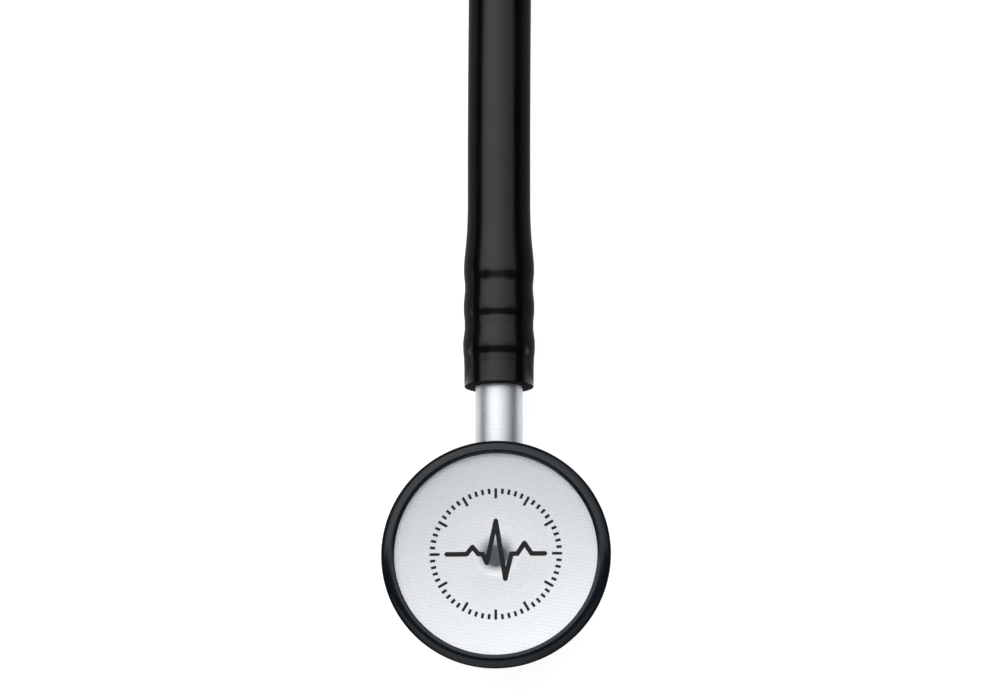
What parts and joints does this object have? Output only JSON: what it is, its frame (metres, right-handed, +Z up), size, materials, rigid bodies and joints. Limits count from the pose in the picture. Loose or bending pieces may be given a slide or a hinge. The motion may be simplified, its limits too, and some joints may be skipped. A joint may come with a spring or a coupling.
{
  "type": "stethoscope",
  "caption": "Stethoscope with a two-sided chestpiece that turns on a hollow stem, black tubing with a ribbed end, a moulded fork and a sprung headset with soft ear tips.",
  "frame": {"origin": "on the surface that the stethoscope lies on, under the middle of the bell", "axes": "+Z up through the chestpiece from the bell to the diaphragm, +Y along the stem towards the tubing, +X towards the headset that lies beside it"},
  "size_m": [0.1702, 0.4317, 0.0216],
  "materials": {
    "stainless_steel": "machined, satin",
    "polished_steel": "polished",
    "spring_steel": "plain",
    "diaphragm_sheet": "translucent fibre-filled sheet",
    "rim_rubber": "satin",
    "seal_rubber": "matt",
    "tubing_pvc": "smooth satin",
    "ear_tube_aluminium": "anodised, satin",
    "insert_plastic": "matt",
    "ear_tip_silicone": "soft matt"
  },
  "bodies": {
    "tubing_and_stem": {"stem": "polished_steel", "stem_seal_inner": "seal_rubber", "stem_seal_outer": "seal_rubber", "stem_retaining_ring": "spring_steel", "tubing_end": "tubing_pvc", "tubing": "tubing_pvc", "yoke": "tubing_pvc", "leaf_spring": "spring_steel"},
    "chestpiece": {"chestpiece_body": "stainless_steel", "diaphragm": "diaphragm_sheet", "diaphragm_rim": "rim_rubber", "bell_sleeve": "rim_rubber", "detent_spring": "spring_steel", "detent_plug": "stainless_steel"},
    "detent": {"detent_ball": "spring_steel"},
    "left_headset": {"left_arm": "tubing_pvc", "left_ear_tube": "ear_tube_aluminium", "left_tip_insert": "insert_plastic", "left_ear_tip": "ear_tip_silicone"},
    "right_headset": {"right_arm": "tubing_pvc", "right_ear_tube": "ear_tube_aluminium", "right_tip_insert": "insert_plastic", "right_ear_tip": "ear_tip_silicone"}
  },
  "joints": [
    {"name": "chestpiece_swivel", "type": "hinge", "parent": "tubing_and_stem", "child": "chestpiece", "pos_m": [0, 0, 0.01274], "axis": [0, 1, 0], "continuous": true},
    {"name": "detent_travel", "type": "slide", "parent": "chestpiece", "child": "detent", "axis": [1, 0, 0], "range_m": [0, 0.0003], "stiffness_N_per_m": 800, "springref_m": -0.0008, "deforming": ["detent_spring"]},
    {"name": "left_spread", "type": "hinge", "parent": "tubing_and_stem", "child": "left_headset", "pos_m": [0.1125, -0.018, 0.0053], "axis": [0, 0, 1], "range_deg": [-3, 18], "stiffness_Nm_per_rad": 1.5, "deforming": ["left_arm", "leaf_spring"]},
    {"name": "right_spread", "type": "hinge", "parent": "tubing_and_stem", "child": "right_headset", "pos_m": [0.0955, -0.018, 0.0053], "axis": [0, 0, -1], "range_deg": [-3, 18], "stiffness_Nm_per_rad": 1.5, "deforming": ["right_arm", "leaf_spring"]}
  ]
}
